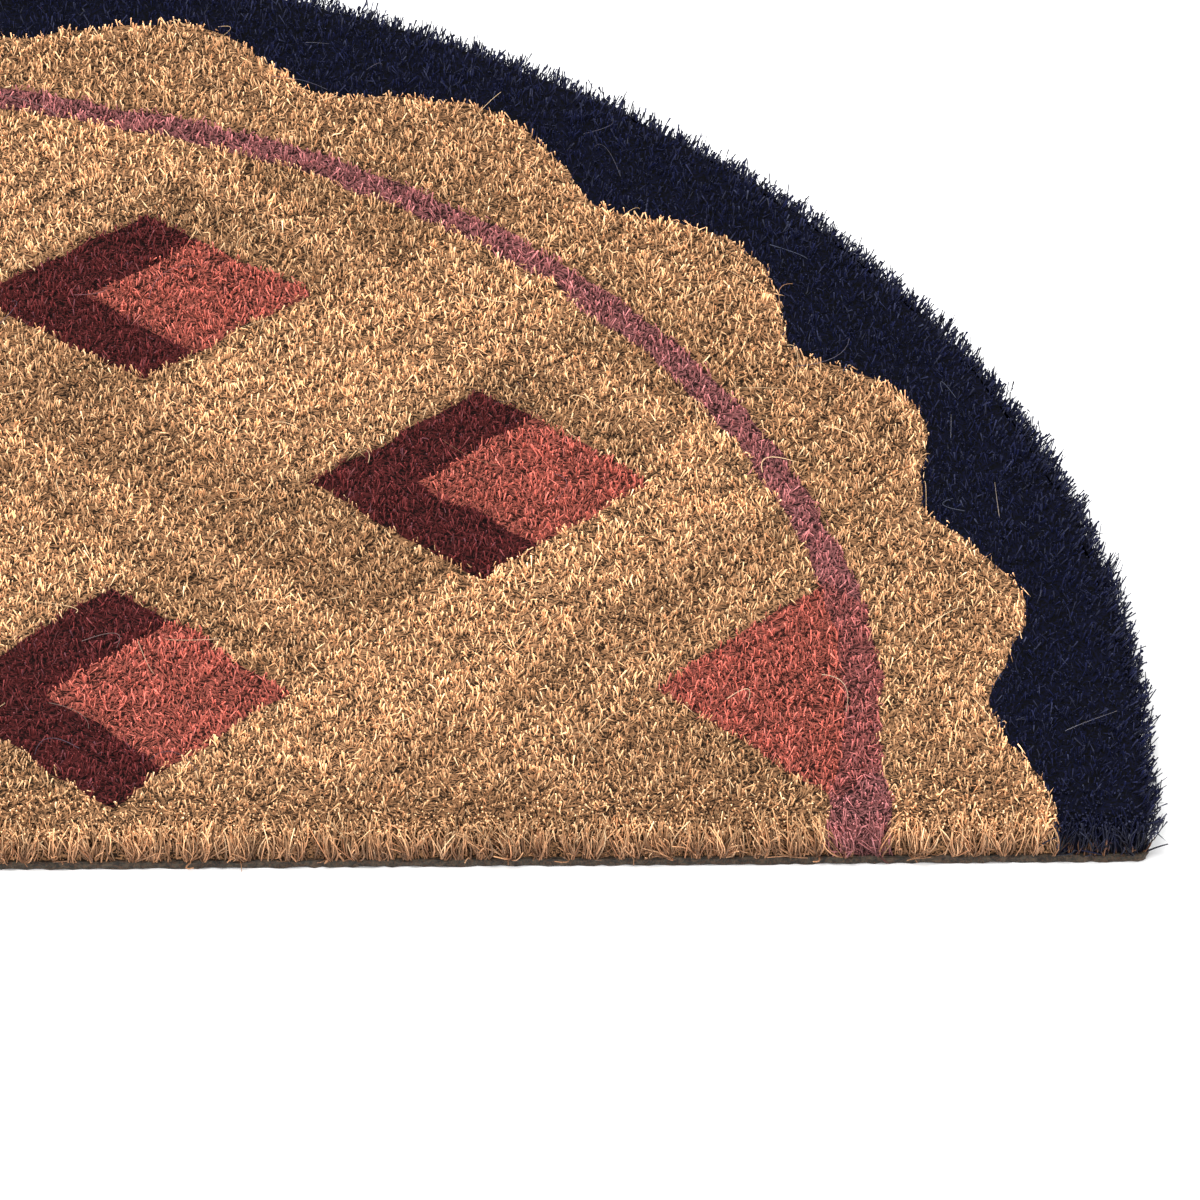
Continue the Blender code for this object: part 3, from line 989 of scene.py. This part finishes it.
# %% Grow the field
FIELD_OUTSET = 0.0062  # the sheets reach this far past the backing, for the tips that lean out
FIELD_STRIPS = [
    # name, left, right
    ("pile_far_left", None, -0.155),
    ("pile_left", -0.155, 0.0),
    ("pile_right", 0.0, 0.155),
    ("pile_far_right", 0.155, None),
]
bristle_tree = build_bristle_tree()
field = []
for number, (name, left, right) in enumerate(FIELD_STRIPS):
    field.append(grown(sheet_to_grow_on(name, -FIELD_OUTSET, PILE_TOP, left, right), bristle_tree, {
        "Seed": 30 + number,
        "Finish": fibre_finish,
    }))
# The rim gets a second growth, so that its tufts are dense against the floor behind them.
field.append(grown(sheet_to_grow_on("pile_rim", -FIELD_OUTSET, PILE_TOP - 0.0006), bristle_tree, {
    "Fibres per square metre": 640000.0,
    "Rim lean": 0.95,
    "Only within": 0.0025,
    "Seed": 34,
    "Finish": fibre_finish,
}))

# %% [markdown]
# ## Long strands
#
# Where a fibre shows from foot to tip, a straight bristle won't do. A strand is a short curve that
# starts at its foot, leans to its tip and bows on the way. Each one begins as a plain line on a
# scattered point, its points are then moved to foot, bow and tip, and a three sided tube gives it a
# body. At the rim the feet of one tuft are gathered and its tips fan out, which leaves dark gaps.

# %% Strand tree
def build_strand_tree():
    tree, given, result = group_tree(
        "bowed_strands",
        "GeometryNodeTree",
        [
            ("Sheet", "NodeSocketGeometry", None),
            ("Fibres per square metre", "NodeSocketFloat", 300000.0),
            ("Fibre radius", "NodeSocketFloat", 0.00022),
            ("Points", "NodeSocketInt", 4),
            ("Rise", "NodeSocketFloat", 0.0145),
            ("Unevenness", "NodeSocketFloat", 0.0016),
            ("Spread", "NodeSocketFloat", 0.0012),
            ("Rim reach", "NodeSocketFloat", 0.0030),
            ("Bow", "NodeSocketFloat", 0.0013),
            ("Bow out", "NodeSocketFloat", 0.0010),
            ("Arch", "NodeSocketFloat", 0.0),
            ("Tuft size", "NodeSocketFloat", 0.0045),
            ("Gather", "NodeSocketFloat", 0.55),
            ("Fan", "NodeSocketFloat", 0.35),
            ("Sway", "NodeSocketFloat", 0.0014),
            ("Droop", "NodeSocketFloat", 0.6),
            ("Late lean", "NodeSocketFloat", 1.6),
            ("Outermost", "NodeSocketFloat", 1.0),
            ("Seed", "NodeSocketInt", 5),
            ("Finish", "NodeSocketMaterial", None),
        ],
        [("Strands", "NodeSocketGeometry")],
    )
    points = scattered(tree, given)
    place = add(tree, "GeometryNodeInputPosition").outputs[0]
    rim = use(tree, RIM_GROUP, Place=place)
    points = without(tree, points, calc(tree, "GREATER_THAN", rim["Inside"], given["Outermost"]))

    # Tufts are counted along the rim. Each has its own middle, its own sway and its own reach.
    way = vector(tree, "CROSS_PRODUCT", (0.0, 0.0, 1.0), rim["Out"])
    counted = calc(tree, "DIVIDE", rim["Along"], given["Tuft size"])
    tuft = add(tree, "ShaderNodeTexVoronoi", {"voronoi_dimensions": "1D"}, W=counted, Scale=1.0)
    lots = add(tree, "FunctionNodeSeparateColor", Color=tuft.outputs["Color"]).outputs
    off = calc(tree, "MULTIPLY", calc(tree, "SUBTRACT", counted, tuft.outputs["W"]), given["Tuft size"])
    gathered = vector(tree, "SCALE", way, calc(tree, "MULTIPLY", off, given["Gather"]))
    foot = vector(tree, "SUBTRACT", place, gathered)

    drop = calc(tree, "MULTIPLY", given["Droop"], calc(tree, "POWER", chance(tree, 0.0, 1.0, 29), 5.0))
    uneven = calc(tree, "MULTIPLY", chance(tree, -1.0, 0.5, 21), given["Unevenness"])
    rise = calc(tree, "ADD", given["Rise"], uneven)
    rise = calc(tree, "MULTIPLY", rise, calc(tree, "SUBTRACT", 1.0, drop))
    much = calc(tree, "MULTIPLY_ADD", lots["Green"], 0.9, 0.2)
    much = calc(tree, "MULTIPLY", much, chance(tree, 0.5, 1.3, 22))
    reach = calc(tree, "MULTIPLY", given["Rim reach"], calc(tree, "ADD", much, drop))
    reach = calc(tree, "MULTIPLY", reach, calc(tree, "POWER", rim["Near"], 1.5))
    reach = vector(tree, "SCALE", rim["Out"], reach)
    sway = calc(tree, "MULTIPLY", calc(tree, "MULTIPLY_ADD", lots["Red"], 2.0, -1.0), given["Sway"])
    fanned = vector(tree, "SCALE", way, calc(tree, "MULTIPLY_ADD", off, given["Fan"], sway))
    aside = vector(tree, "SCALE", flat_chance(tree, 23), given["Spread"])
    tip = vector(tree, "ADD", vector(tree, "ADD", place, fanned), vector(tree, "ADD", reach, aside))
    tip = vector(tree, "ADD", tip, upwards(tree, rise))
    bow = vector(tree, "SCALE", flat_chance(tree, 25), given["Bow"])
    arch = calc(tree, "MULTIPLY", given["Arch"], chance(tree, 0.4, 1.2, 30))
    bow = vector(tree, "ADD", bow, upwards(tree, arch))
    bow_out = calc(tree, "MULTIPLY", given["Bow out"], chance(tree, -0.2, 1.2, 31))
    bow_out = vector(tree, "SCALE", rim["Out"], calc(tree, "MULTIPLY", bow_out, rim["Near"]))
    bow = vector(tree, "ADD", bow, bow_out)
    points = store(tree, points, [
        ("foot_at", "FLOAT_VECTOR", foot),
        ("print_at", "FLOAT_VECTOR", tip),
        ("bow_by", "FLOAT_VECTOR", bow),
        ("shade", "FLOAT", chance(tree, 0.0, 1.0, 27)),
        ("thick", "FLOAT", calc(tree, "MULTIPLY", given["Fibre radius"], chance(tree, 0.6, 1.4, 28))),
    ])

    line = add(tree, "GeometryNodeCurvePrimitiveLine", End=(0.0, 0.0, 0.01)).outputs[0]
    line = add(tree, "GeometryNodeResampleCurve", Curve=line, Count=given["Points"]).outputs[0]
    lines = add(tree, "GeometryNodeInstanceOnPoints", Points=points, Instance=line).outputs[0]
    lines = add(tree, "GeometryNodeRealizeInstances", Geometry=lines).outputs[0]

    def stored(name, kind):
        node = add(tree, "GeometryNodeInputNamedAttribute", {"data_type": kind}, Name=name)
        return node.outputs["Attribute"]

    along = add(tree, "GeometryNodeSplineParameter").outputs["Factor"]
    late = calc(tree, "POWER", along, given["Late lean"])
    straight = add(tree, "ShaderNodeMix", {"data_type": "VECTOR", "factor_mode": "NON_UNIFORM"})
    plug(tree, add(tree, "ShaderNodeCombineXYZ", X=late, Y=late, Z=along).outputs[0], straight.inputs[1])
    plug(tree, stored("foot_at", "FLOAT_VECTOR"), straight.inputs[4])
    plug(tree, stored("print_at", "FLOAT_VECTOR"), straight.inputs[5])
    hump = calc(tree, "MULTIPLY", along, calc(tree, "SUBTRACT", 1.0, along))
    hump = calc(tree, "MULTIPLY", hump, 4.0)
    bowed = vector(tree, "SCALE", stored("bow_by", "FLOAT_VECTOR"), hump)
    bowed = vector(tree, "ADD", straight.outputs[1], bowed)
    lines = add(tree, "GeometryNodeSetPosition", Geometry=lines, Position=bowed).outputs[0]
    thin_end = calc(tree, "MULTIPLY_ADD", along, -0.45, 1.1)
    profile = add(tree, "GeometryNodeCurvePrimitiveCircle", Resolution=3, Radius=1.0).outputs[0]
    body = add(tree, "GeometryNodeCurveToMesh", Curve=lines, Profile_Curve=profile, Fill_Caps=True,
               Scale=calc(tree, "MULTIPLY", stored("thick", "FLOAT"), thin_end)).outputs[0]
    plug(tree, dressed(tree, body, given["Finish"]), result["Strands"])
    return tree


# %% Strands round the rim, over the field and astray
strand_tree = build_strand_tree()
FOOT_HEIGHT = BACKING_TOP - 0.0003
AWAY_FROM_RIM = {
    "Rim reach": 0.0,
    "Bow out": 0.0,
    "Gather": 0.0,
    "Fan": 0.0,
    "Sway": 0.0,
    "Droop": 0.0,
    "Late lean": 1.0,
}
front_strands = grown(sheet_to_grow_on("front_tufts", 0.0003, FOOT_HEIGHT, depth=0.0030), strand_tree, {
    "Fibres per square metre": 2300000.0,
    "Points": 5,
    "Rise": 0.0138,
    "Unevenness": 0.0044,
    "Spread": 0.0032,
    "Droop": 0.8,
    "Bow": 0.0016,
    "Bow out": 0.0012,
    "Tuft size": 0.0070,
    "Gather": 0.76,
    "Fan": 0.10,
    "Sway": 0.0030,
    "Seed": 40,
    "Finish": wall_finish,
})
rim_strands = grown(sheet_to_grow_on("rim_tufts", 0.0004, FOOT_HEIGHT), strand_tree, {
    "Fibres per square metre": 1400000.0,
    "Points": 4,
    "Outermost": 0.0024,
    "Rise": 0.0136,
    "Unevenness": 0.0024,
    "Rim reach": 0.0052,
    "Gather": 0.20,
    "Fan": -0.45,
    "Seed": 41,
    "Finish": wall_finish,
})
curls = grown(sheet_to_grow_on("curled_ends", 0.004, PILE_TOP - 0.0016), strand_tree, {
    **AWAY_FROM_RIM,
    "Fibres per square metre": 8000.0,
    "Fibre radius": 0.00018,
    "Points": 4,
    "Rise": 0.0016,
    "Unevenness": 0.0008,
    "Spread": 0.0020,
    "Bow": 0.0013,
    "Arch": 0.0008,
    "Seed": 42,
    "Finish": curl_finish,
})
strays = grown(sheet_to_grow_on("stray_fibres", 0.016, PILE_TOP - 0.0006), strand_tree, {
    **AWAY_FROM_RIM,
    "Fibres per square metre": 900.0,
    "Fibre radius": 0.00011,
    "Points": 9,
    "Rise": 0.0004,
    "Unevenness": 0.0010,
    "Spread": 0.0170,
    "Bow": 0.0050,
    "Arch": 0.0016,
    "Seed": 43,
    "Finish": stray_finish,
})

# %% [markdown]
# ## Hand the pieces over
#
# Every piece moves with the one rigid body of the mat. The core stands for the solid pile and the
# sheet for the solid backing: a flat cut sheet that lies on the floor, with the pile as the pieces
# that go with it.

# %% Finish
pile_pieces = [core, *field, front_strands, rim_strands, curls, strays]
for piece in pile_pieces:
    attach(piece, "root")
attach(backing, "root")
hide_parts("backing")
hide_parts("coir_pile")
